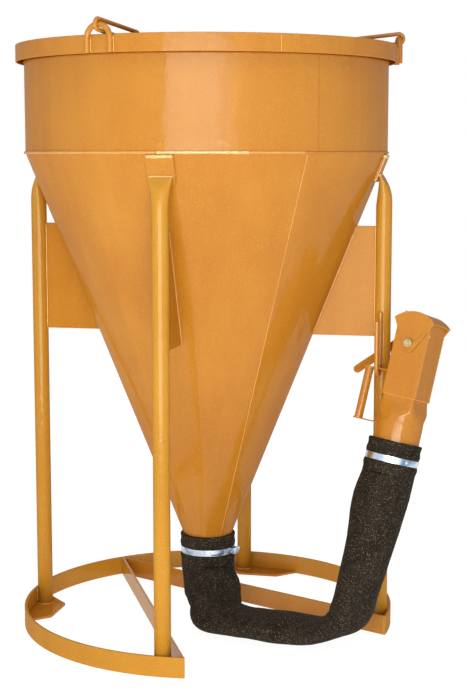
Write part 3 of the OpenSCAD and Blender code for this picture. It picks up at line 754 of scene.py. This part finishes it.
# Spout: drawn smoothly from the square under the box to the round tube

SPOUT_EASE_LEN = 0.082
SPOUT_EASE_ROWS = 32
SPOUT_TUBE_ROWS = (-0.28, -0.33)
SPOUT_SIDES = 96
SPOUT_GAP = 0.0004
SPOUT_INSET = 0.002
SPOUT_SQUARENESS = 14
SPOUT_SHARP = 50


def spout_ring(s, inset):
    """Ring of the spout, from nearly square to round."""
    ease = eased((-BOX_DROP - s) / SPOUT_EASE_LEN)
    half = BOX_HALF - SPOUT_INSET
    size = half + (SPOUT_R - half) * ease - inset
    power = 2 / (2 + SPOUT_SQUARENESS * (1 - ease) ** 2)
    ring = []
    for k in range(SPOUT_SIDES):
        turn = math.tau * k / SPOUT_SIDES
        c, d = math.cos(turn), math.sin(turn)
        u = size * math.copysign(abs(c) ** power, c)
        w = size * math.copysign(abs(d) ** power, d)
        ring.append(in_head(u, w, s))
    return ring


def make_spout():
    top = -BOX_DROP - SPOUT_GAP
    places = [top - SPOUT_EASE_LEN * k / SPOUT_EASE_ROWS for k in range(SPOUT_EASE_ROWS + 1)]
    places += [*SPOUT_TUBE_ROWS, SPOUT_END_S]
    rings = [spout_ring(s, 0.0) for s in places] + [spout_ring(s, SHEET_T) for s in reversed(places)]
    made = piece("drawn_spout", "spout_head", paint, joined(rings), skin(rings, True))
    sharpen(made, SPOUT_SHARP)
    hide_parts("spout_neck", "spout_tube")


make_spout()


# Clamp tails: the band's free end lies over the band beside its housing

SPIGOT_WORM_TURN = 32.0
HEAD_WORM_TURN = 100.0
BAND_T = 0.0016
TAIL_START = -14.0
SPIGOT_TAIL_SWEEP = -44.0
HEAD_TAIL_SWEEP = -118.0
TAIL_HALF = 0.0072
TAIL_T = 0.0012
TAIL_GAP = 0.0002
TAIL_LIFT = 0.0011
TAIL_EDGE = 0.0003
TAIL_CORNER = 0.0006
TAIL_END_SHARE = 0.55
TAIL_ROWS = 28


def clamp_tail(name, body, place, radius, sweep):
    """Strip over the band, lifted at its start and narrowed at both ends."""
    rings = []
    for i in range(TAIL_ROWS + 1):
        a = math.radians(TAIL_START + sweep * i / TAIL_ROWS)
        way = Vector((math.cos(a), math.sin(a), 0))
        lift = TAIL_GAP + TAIL_LIFT * max(0.0, 1 - i / (TAIL_ROWS * 0.5))
        shut = TAIL_END_SHARE if i in (0, TAIL_ROWS) else 1.0
        under = radius + lift
        top = under + TAIL_T
        corner_h = TAIL_HALF - TAIL_CORNER
        ring = [(under, -TAIL_HALF), (under, TAIL_HALF), (top - TAIL_EDGE, TAIL_HALF),
                (top, corner_h), (top, -corner_h), (top - TAIL_EDGE, -TAIL_HALF)]
        rings.append([place @ (way * r + Vector((0, 0, h * shut))) for r, h in ring])
    piece(name, body, zinc, joined(rings), capped(rings))


def make_clamp_tails():
    spigot_clamp = Matrix.Translation((0, 0, OUTLET_Z - CLAMP_DROP)) @ at(SPIGOT_WORM_TURN)
    clamp_tail("spigot_clamp_tail", "hopper_frame", spigot_clamp, SPIGOT_HOSE_R + BAND_T, SPIGOT_TAIL_SWEEP)
    worm_turn = Matrix.Rotation(math.radians(HEAD_WORM_TURN), 4, "Z")
    head_clamp = HEAD_FRAME @ Matrix.Translation((0, 0, HOSE_END_S - HEAD_CLAMP_IN)) @ worm_turn
    clamp_tail("head_clamp_tail", "spout_head", head_clamp, HEAD_HOSE_R + BAND_T, HEAD_TAIL_SWEEP)


make_clamp_tails()


# Weld beads and tacks

# Radius of the beads in each piece
BEAD_R = {
    "weld_joint_heavy": 0.0050,
    "weld_joint_left": 0.0044,
    "weld_joint_right": 0.0044,
    "weld_joint_rest": 0.0034,
    "shade_line_under_rim": 0.0026,
    "weld_drum_seam": 0.0013,
    "weld_cone_seam": 0.0017,
    "weld_rim_seam": 0.0015,
    "welds_gussets": 0.0030,
    "welds_leg_pads": 0.0068,
    "welds_pad_sides": 0.0030,
    "welds_leg_tops": 0.0050,
    "welds_leg_feet": 0.0026,
    "welds_staples": 0.0030,
    "welds_hook": 0.0026,
    "welds_spout": 0.0017,
    "welds_spout_box": 0.0012,
    "welds_handle": 0.0016,
    "welds_lever": 0.0024,
    "welds_gate": 0.0011,
}
BEAD_SIDES = 8
BEAD_STEP = 0.0026
BEAD_RIPPLE = 0.0062
BEAD_RIPPLE_SHARE = 0.18
BEAD_UNEVEN_SHARE = 0.22
BEAD_NOISE = 90
BEAD_PHASES = 6.0
BEAD_END_SHARES = (0.45, 0.8)
LUMP_ROWS = 7
LUMP_SIDES = 12
LUMP_UNEVEN_SHARE = 0.35
LUMP_NOISE = 160


def resample(path, step, closed):
    """Even points along a line of straight runs."""
    corners = list(path) + ([path[0]] if closed else [])
    lengths = [(b - a).length for a, b in zip(corners, corners[1:])]
    total = sum(lengths)
    count = max(3, int(total / step))
    points = []
    passed, i = 0.0, 0
    for k in range(count + (0 if closed else 1)):
        goal = total * k / count
        while i < len(lengths) - 1 and passed + lengths[i] < goal:
            passed += lengths[i]
            i += 1
        points.append(corners[i].lerp(corners[i + 1], min(1.0, (goal - passed) / max(lengths[i], 1e-9))))
    return points


def bead_rings(path, radius, closed):
    """Rings of a rippled weld bead along a line."""
    centres = resample(path, BEAD_STEP, closed)
    count = len(centres)
    rings = []
    up = None
    phase = random.random() * BEAD_PHASES
    for i, c in enumerate(centres):
        before = centres[i - 1] if i or closed else c
        after = centres[(i + 1) % count] if i < count - 1 or closed else c
        way = (after - before).normalized()
        if up is None:
            up = way.orthogonal().normalized()
        up = (up - way * up.dot(way)).normalized()
        side = way.cross(up)
        wave = abs(math.sin(math.pi * i * BEAD_STEP / BEAD_RIPPLE + phase))
        uneven = BEAD_UNEVEN_SHARE * noise.noise(c * BEAD_NOISE)
        size = radius * (1 - BEAD_RIPPLE_SHARE + BEAD_RIPPLE_SHARE * wave + uneven)
        from_end = min(i, count - 1 - i)
        if not closed and from_end < len(BEAD_END_SHARES):
            size *= BEAD_END_SHARES[from_end]
        turns = [math.tau * k / BEAD_SIDES for k in range(BEAD_SIDES)]
        rings.append([c + size * (math.cos(turn) * up + math.sin(turn) * side) for turn in turns])
    return rings


def open_line(points):
    return list(points), False


def closed_line(points):
    return list(points), True


def welds(name, body, lines, finish=weld_paint):
    """One piece of several weld beads: each line is a list of points, and whether it closes."""
    points, faces = [], []
    for path, closed in lines:
        rings = bead_rings(path, BEAD_R[name], closed)
        first = len(points)
        points += joined(rings)
        bead_faces = skin(rings, True) if closed else capped(rings)
        faces += [tuple(first + v for v in face) for face in bead_faces]
    piece(name, body, finish, points, faces)


def lumps(name, body, places):
    """One piece of uneven weld lumps: each place is a centre and a radius."""
    points, faces = [], []
    for centre, radius in places:
        rings = []
        for i in range(1, LUMP_ROWS):
            tilt = math.pi * i / LUMP_ROWS
            ring = []
            for k in range(LUMP_SIDES):
                turn = math.tau * k / LUMP_SIDES
                out, up = math.sin(tilt), math.cos(tilt)
                way = Vector((out * math.cos(turn), out * math.sin(turn), up))
                uneven = LUMP_UNEVEN_SHARE * noise.noise((centre + way * radius) * LUMP_NOISE)
                ring.append(centre + way * radius * (1 + uneven))
            rings.append(ring)
        first = len(points)
        points += joined(rings)
        faces += [tuple(first + v for v in face) for face in capped(rings)]
    piece(name, body, weld_paint, points, faces)


# Welds of the hopper

SEAT = 0.0006
JOINT_STEPS = 120
# Start and end of each run of the weld between drum and cone, with its paint: the run facing the lamps
# carries a painted glint, the runs beside it a fainter painted sheen, and the rest plain paint
JOINT_RUNS = (
    ("weld_joint_heavy", -46, -19, painted_glint_weld),
    ("weld_joint_left", -118, -46, weld_paint),
    ("weld_joint_right", -19, -2, weld_paint),
    ("weld_joint_rest", -2, 242, paint),
)
UNDER_RIM_Z = RIM_Z - RIM_H - 0.0010
UNDER_RIM_SIDES = 240
DRUM_SEAM_TURN = 2.6
DRUM_SEAM_ENDS = (JOINT_Z + 0.004, RIM_Z - 0.012)
CONE_SEAM_TURN = -1.0
CONE_SEAM_ENDS = (0.300, 1.456)
CONE_SEAM_DEPTH = 0.0004
RIM_SEAM_TURN = -11.0
RIM_SEAM_ENDS = (RIM_Z - RIM_H + 0.001, RIM_Z - 0.002)


def weld_hopper():
    body = "hopper_frame"
    for name, start, end, finish in JOINT_RUNS:
        turns = [start + (end - start) * k / JOINT_STEPS for k in range(JOINT_STEPS + 1)]
        welds(name, body, [open_line(polar(turn, SHELL_R + SEAT, JOINT_Z) for turn in turns)], finish)
    # A dark line just under the rim: painted shade below the rim's skirt
    under_rim = circle(Vector((0, 0, UNDER_RIM_Z)), SHELL_R, UNDER_RIM_SIDES)
    welds("shade_line_under_rim", body, [closed_line(under_rim)], shade_and_seam_paint)
    drum_seam = open_line(polar(DRUM_SEAM_TURN, SHELL_R - SEAT, z) for z in DRUM_SEAM_ENDS)
    welds("weld_drum_seam", body, [drum_seam], shade_and_seam_paint)
    cone_seam = open_line(polar(CONE_SEAM_TURN, cone_r(z) - CONE_SEAM_DEPTH, z) for z in CONE_SEAM_ENDS)
    welds("weld_cone_seam", body, [cone_seam])
    rim_seam = open_line(polar(RIM_SEAM_TURN, RIM_R - SEAT, z) for z in RIM_SEAM_ENDS)
    welds("weld_rim_seam", body, [rim_seam])


weld_hopper()


# Welds of the frame

GUSSET_ENDS = (GUSSET_LOW_Z, GUSSET_TOP_Z)
GUSSET_LEG_SEAT = 0.0002
PAD_BEAD_OUT = 0.0030
PAD_BEAD_UP = 0.0010
PAD_SIDE_TOP_GAP = 0.006
LEG_BEAD_OUT = 0.0019
LEG_BEAD_UP = 0.0005
FOOT_BEAD_OUT = 0.0004
FOOT_BEAD_SIDES = 40
RING_BEAD_IN = 0.0012
RING_BEAD_SPREAD = 0.0105
RING_BEAD_ENDS = (0.012, BASE_H - 0.002)


def weld_frame():
    gussets, pads, pad_sides, leg_tops, feet = [], [], [], [], []
    half_pad, half_top = PAD_W / 2, CRUSH_W / 2
    leg_x = LEG_R - LEG_TUBE_R - GUSSET_LEG_SEAT
    pad_z = -PAD_DROP + PAD_BEAD_UP
    pad_side_ends = (-PAD_DROP - PAD_LEN, -PAD_DROP - PAD_SIDE_TOP_GAP)
    top_x, top_z = PAD_FACE_X + LEG_BEAD_OUT, LEG_TOP_Z + LEG_BEAD_UP
    foot = Vector((LEG_R, 0, FOOT_T + SEAT))
    for turn in LEG_TURNS.values():
        place = at(turn)
        pad = place @ Matrix.Translation((SHELL_R, 0, JOINT_Z)) @ Matrix.Rotation(CONE_ANGLE, 4, "Y")
        pads.append(open_line(pad @ Vector((PAD_BEAD_OUT, y, pad_z)) for y in (-half_pad, half_pad)))
        leg_tops.append(open_line(place @ Vector((top_x, y, top_z)) for y in (-half_top, half_top)))
        feet.append(closed_line(circle(foot, LEG_TUBE_R + FOOT_BEAD_OUT, FOOT_BEAD_SIDES, place)))
        for side in (-1, 1):
            y = side * (GUSSET_T / 2 + SEAT)
            gussets.append(open_line(place @ Vector((cone_r(z) + SEAT, y, z)) for z in GUSSET_ENDS))
            gussets.append(open_line(place @ Vector((leg_x, y, z)) for z in GUSSET_ENDS))
            pad_sides.append(open_line(pad @ Vector((SEAT, side * half_pad, z)) for z in pad_side_ends))
            ring_x, ring_y = BASE_IN_R - RING_BEAD_IN, side * RING_BEAD_SPREAD
            feet.append(open_line(place @ Vector((ring_x, ring_y, z)) for z in RING_BEAD_ENDS))
    welds("welds_gussets", "hopper_frame", gussets)
    # The beads on the tops of the pads and the legs carry a painted glint
    welds("welds_leg_pads", "hopper_frame", pads, painted_glint_weld)
    welds("welds_pad_sides", "hopper_frame", pad_sides, paint)
    welds("welds_leg_tops", "hopper_frame", leg_tops, painted_glint_weld)
    welds("welds_leg_feet", "hopper_frame", feet)


weld_frame()


# Welds of the lifting staples and the storage hook

STAPLE_BEAD_SHARE = 0.40
STAPLE_BEAD_OUT = 0.0012
STAPLE_BEAD_ENDS = (RIM_Z - RIM_H + 0.002, RIM_Z - 0.004)
HOOK_BEAD_SPREAD = 0.0048
HOOK_RUNS = ((0.838, 0.900), (0.930, 0.982))


def weld_staples():
    lines = []
    for turn in STAPLE_TURNS.values():
        place = at(turn)
        for bar in (-1, 1):
            for side in (-1, 1):
                y = bar * STAPLE_W / 2 + side * STAPLE_BAR * STAPLE_BEAD_SHARE
                x = math.sqrt(RIM_R ** 2 - y * y) + STAPLE_BEAD_OUT
                lines.append(open_line(place @ Vector((x, y, z)) for z in STAPLE_BEAD_ENDS))
    welds("welds_staples", "hopper_frame", lines)


def weld_hook():
    way = polar(HOOK_WAY_TURN, 1, 0)
    aside = Vector((-way.y, way.x, 0)) * HOOK_BEAD_SPREAD
    contact = polar(HOOK_LEG_TURN, LEG_R, 0) + way * LEG_TUBE_R
    lines = []
    for ends in HOOK_RUNS:
        for side in (-1, 1):
            lines.append(open_line(contact + aside * side + Vector((0, 0, z)) for z in ends))
    welds("welds_hook", "hopper_frame", lines)


weld_staples()
weld_hook()


# Welds of the spout head

NECK_BEAD_IN = 0.0016
NECK_CORNERS = ((1, 1), (1, -1), (-1, -1), (-1, 1))
BOX_BEAD_SHARE = 0.908
BOX_BEAD_ENDS = (-BOX_DROP + 0.002, 0.050)
STRAP_BEAD_GAP = 0.0003
STRAP_BEAD_UP = 0.0004
STRAP_ARC = (188, 194, 200, 206, 211)
GRIP_BEAD_SIDES = 40
# Place in the head's frame and radius of each tack on the box
SPOUT_TACKS = (
    (-BOX_HALF - 0.0005, -BOX_HALF + 0.0070, -0.036, 0.0046),
    (BOX_HALF + 0.0006, -BOX_HALF + 0.0046, 0.030, 0.0036),
    (-BOX_HALF - 0.0005, BOX_HALF - 0.004, -0.040, 0.0044),
)


def weld_spout():
    half = BOX_HALF - NECK_BEAD_IN
    neck = closed_line(in_head(u * half, w * half, -BOX_DROP - SPOUT_GAP) for u, w in NECK_CORNERS)
    welds("welds_spout", "spout_head", [neck])
    edges = []
    for side_u in (-1, 1):
        for side_w in (-1, 1):
            u, w = side_u * (BOX_HALF - SEAT), side_w * BOX_HALF * BOX_BEAD_SHARE
            edges.append(open_line(in_head(u, w, s) for s in BOX_BEAD_ENDS))
    welds("welds_spout_box", "spout_head", edges)


def weld_handle():
    upper_s, lower_s = -STRAP_DROP, -STRAP_DROP - STRAP_GAP
    half_t = STRAP_T / 2
    root_u, root_s = -BOX_HALF - STRAP_BEAD_GAP, upper_s + half_t + STRAP_BEAD_UP
    root_ends = [-GRIP_SHIFT + side * STRAP_W / 2 for side in (-1, 1)]
    lines = [open_line(in_head(root_u, w, root_s) for w in root_ends)]
    arc = [math.radians(turn) for turn in STRAP_ARC]
    for side in (1, -1):
        s = lower_s + side * (half_t + STRAP_BEAD_GAP)
        lines.append(open_line(in_head(SPOUT_R * math.cos(a), SPOUT_R * math.sin(a), s) for a in arc))
    for s in (upper_s - half_t, lower_s + half_t):
        grip = Vector((-GRIP_OFF, -GRIP_SHIFT, s))
        lines.append(closed_line(circle(grip, GRIP_R, GRIP_BEAD_SIDES, HEAD_FRAME)))
    welds("welds_handle", "spout_head", lines)


weld_spout()
weld_handle()
lumps("tacks_spout", "spout_head", [(in_head(u, w, s), radius) for u, w, s, radius in SPOUT_TACKS])


# Lever and welds of the gate

LEVER_EDGE = 0.0010
LEVER_END_STEPS = 16
LEVER_SHARP = 40
LEVER_BEAD_ENDS = (-0.034, 0.026)
GATE_BEAD_IN = 0.0004
GATE_BEAD_STEPS = 24
GATE_BEAD_HALF = GATE_HALF - 2
GATE_TACK_TURN = -20
GATE_TACK_IN = 0.003
GATE_TACK_R = 0.0042


def on_lever(along, across, w):
    """Point of the lever's plane: along its middle line, across it, and out from the gate."""
    slope = math.radians(LEVER_SLOPE)
    u = math.cos(slope) * along - math.sin(slope) * (LEVER_OFF + across)
    s = math.sin(slope) * along + math.cos(slope) * (LEVER_OFF + across)
    return in_head(u, GATE_OUT_W + w, s)


def on_gate(turn, radius, w):
    """Point at an angle about the gate's pivot, from the spout's axis."""
    a = math.radians(turn)
    return in_head(radius * math.sin(a), w, radius * math.cos(a))


def make_lever():
    """Flat bar with round ends and broken edges."""
    rings = []
    for w, inset in ((0, LEVER_EDGE), (LEVER_EDGE, 0), (LEVER_T - LEVER_EDGE, 0), (LEVER_T, LEVER_EDGE)):
        size = LEVER_HALF - inset
        ring = []
        for centre, start in ((LEVER_ROOT, -90), (-LEVER_TIP, 90)):
            for k in range(LEVER_END_STEPS + 1):
                turn = math.radians(start + 180 * k / LEVER_END_STEPS)
                ring.append(on_lever(centre + size * math.cos(turn), size * math.sin(turn), w))
        rings.append(ring)
    made = piece("drawn_lever", "sector_gate", paint, joined(rings), capped(rings))
    sharpen(made, LEVER_SHARP)
    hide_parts("gate_lever")


def weld_gate():
    lever_lines = []
    gate_lines = []
    steps = [2 * GATE_BEAD_HALF * k / GATE_BEAD_STEPS for k in range(GATE_BEAD_STEPS + 1)]
    for side in (-1, 1):
        lever_lines.append(open_line(on_lever(along, side * LEVER_HALF, SEAT) for along in LEVER_BEAD_ENDS))
        edge_r, edge_w = GATE_R - GATE_BEAD_IN, side * GATE_IN_W
        gate_lines.append(open_line(on_gate(step - GATE_BEAD_HALF, edge_r, edge_w) for step in steps))
    welds("welds_lever", "sector_gate", lever_lines)
    welds("welds_gate", "sector_gate", gate_lines)
    tack = on_gate(GATE_TACK_TURN, GATE_R, GATE_TACK_IN - GATE_OUT_W)
    lumps("tack_gate", "sector_gate", [(tack, GATE_TACK_R)])


make_lever()
weld_gate()


# Floor, world, lamps and camera

FLOOR_HALF = 40.0
FLOOR_TONE = (0.88, 0.87, 0.85, 1)
FLOOR_GLOW = 0.52
FLOOR_GLOW_TONE = (1.0, 0.97, 0.90, 1)
BACKDROP_SHARE = 0.82
BACKDROP_LEVEL = 1.15
WHITE = (1, 1, 1, 1)
WORLD_TONE = (1.0, 0.91, 0.88, 1)
WORLD_DARK = 0.335
WORLD_BRIGHT = 0.53
BRIGHT_SIDE = (-0.80, 0.42, -0.42)
# Place, aim, size, watts and colour of each lamp, and whether the paint mirrors it
LAMPS = {
    "key": ((-2.75, -3.35, 1.82), (0, 0, 1.62), (2.4, 0.70), 18.0, (0.90, 0.99, 1.0), True),
    "key_edge": ((-1.63, -4.27, 1.82), (0, 0, 1.62), (0.5, 0.70), 2.1, (0.94, 1.0, 0.97), True),
    "key_rim": ((-1.24, -4.58, 1.82), (0, 0, 1.62), (0.5, 0.70), 0.85, (0.94, 1.0, 0.97), True),
    "glint": ((-2.75, -3.35, 2.95), (0, 0, 1.40), (0.9, 1.5), 12.5, (0.95, 1.0, 0.95), True),
    "fill": ((-1.0, -4.7, 1.5), (0, 0, 1.0), (3.0, 2.2), 5.0, (1.0, 1.0, 1.0), True),
    "low": ((-2.3, -3.1, 0.66), (0, 0, 0.15), (2.8, 1.5), 96.0, (0.92, 1.0, 0.90), True),
    "top": ((-0.9, -2.0, 4.4), (0, 0, 0.6), (1.8, 1.3), 34.0, (1.0, 0.98, 0.95), True),
    "back": ((1.9, 3.3, 2.4), (0, 0, 0.8), (3.0, 2.2), 60.0, (1.0, 0.98, 0.95), False),
}
CAMERA_PLACE = (-2.3900, -3.9199, 1.4570)
CAMERA_WAY = (0.5309, 0.8371, -0.1317)
CAMERA_SENSOR = 36.0
CAMERA_LENS = 76.5
CAMERA_SHIFT = 0.0033
CAMERA_FAR = 200.0


def shows_backdrop(tree):
    """1 where a ray shows the white backdrop: seen directly, through glass or in a reflection."""
    rays = add(tree, "ShaderNodeLightPath").outputs
    seen = math_of(tree, "MAXIMUM", rays["Is Camera Ray"], rays["Is Transmission Ray"])
    return math_of(tree, "MAXIMUM", seen, rays["Is Glossy Ray"])


def make_floor():
    """Pale floor that shows white with a faint shadow, and lights the object from below."""
    mesh = bpy.data.meshes.new("floor")
    corners = [(x * FLOOR_HALF, y * FLOOR_HALF, 0) for x, y in ((-1, -1), (1, -1), (1, 1), (-1, 1))]
    mesh.from_pydata(corners, [], [(0, 1, 2, 3)])
    floor = bpy.data.objects.new("floor", mesh)
    scene.collection.objects.link(floor)
    material = bpy.data.materials.new("pale_floor")
    material.use_nodes = True
    tree = material.node_tree
    tree.nodes.clear()
    seen = shows_backdrop(tree)
    lit = add(tree, "ShaderNodeBsdfDiffuse", {"Color": FLOOR_TONE}).outputs[0]
    level = share_of(tree, math_of(tree, "SUBTRACT", 1.0, seen), FLOOR_GLOW)
    glow = add(tree, "ShaderNodeEmission", {"Color": FLOOR_GLOW_TONE, "Strength": level}).outputs[0]
    bright = add(tree, "ShaderNodeAddShader", {0: lit, 1: glow}).outputs[0]
    white = add(tree, "ShaderNodeEmission", {"Color": WHITE, "Strength": BACKDROP_LEVEL}).outputs[0]
    share = share_of(tree, seen, BACKDROP_SHARE)
    mixed = add(tree, "ShaderNodeMixShader", {0: share, 1: bright, 2: white}).outputs[0]
    add(tree, "ShaderNodeOutputMaterial", {"Surface": mixed})
    mesh.materials.append(material)


def make_world():
    """White backdrop, with a soft light on the object that is stronger from one side."""
    world = bpy.data.worlds.new("studio")
    scene.world = world
    world.use_nodes = True
    tree = world.node_tree
    tree.nodes.clear()
    way = add(tree, "ShaderNodeTexCoord").outputs["Generated"]
    span = {"Value": dot_of(tree, way, BRIGHT_SIDE), "From Min": -1.0, "From Max": 1.0}
    levels = {"To Min": WORLD_DARK, "To Max": WORLD_BRIGHT}
    level = add(tree, "ShaderNodeMapRange", {**span, **levels}).outputs["Result"]
    lit = add(tree, "ShaderNodeBackground", {"Color": WORLD_TONE, "Strength": level}).outputs[0]
    white = add(tree, "ShaderNodeBackground", {"Color": WHITE, "Strength": 1.0}).outputs[0]
    mixed = add(tree, "ShaderNodeMixShader", {0: shows_backdrop(tree), 1: lit, 2: white}).outputs[0]
    add(tree, "ShaderNodeOutputWorld", {"Surface": mixed})


def make_lamp(name, place, aim, size, power, colour, mirrored):
    lamp = bpy.data.lights.new(name, "AREA")
    lamp.shape = "RECTANGLE"
    lamp.size, lamp.size_y = size
    lamp.energy = power
    lamp.color = colour
    made = bpy.data.objects.new(name, lamp)
    made.location = place
    made.visible_glossy = mirrored
    made.rotation_euler = (Vector(aim) - Vector(place)).to_track_quat("-Z", "Y").to_euler()
    scene.collection.objects.link(made)


def make_camera():
    data = bpy.data.cameras.new("camera")
    data.sensor_width = CAMERA_SENSOR
    data.lens = CAMERA_LENS
    data.shift_y = CAMERA_SHIFT
    data.clip_end = CAMERA_FAR
    made = bpy.data.objects.new("camera", data)
    made.location = CAMERA_PLACE
    made.rotation_euler = Vector(CAMERA_WAY).to_track_quat("-Z", "Y").to_euler()
    scene.collection.objects.link(made)
    scene.camera = made


make_floor()
make_world()
for lamp_name, lamp_values in LAMPS.items():
    make_lamp(lamp_name, *lamp_values)
make_camera()
scene.view_settings.view_transform = "Standard"
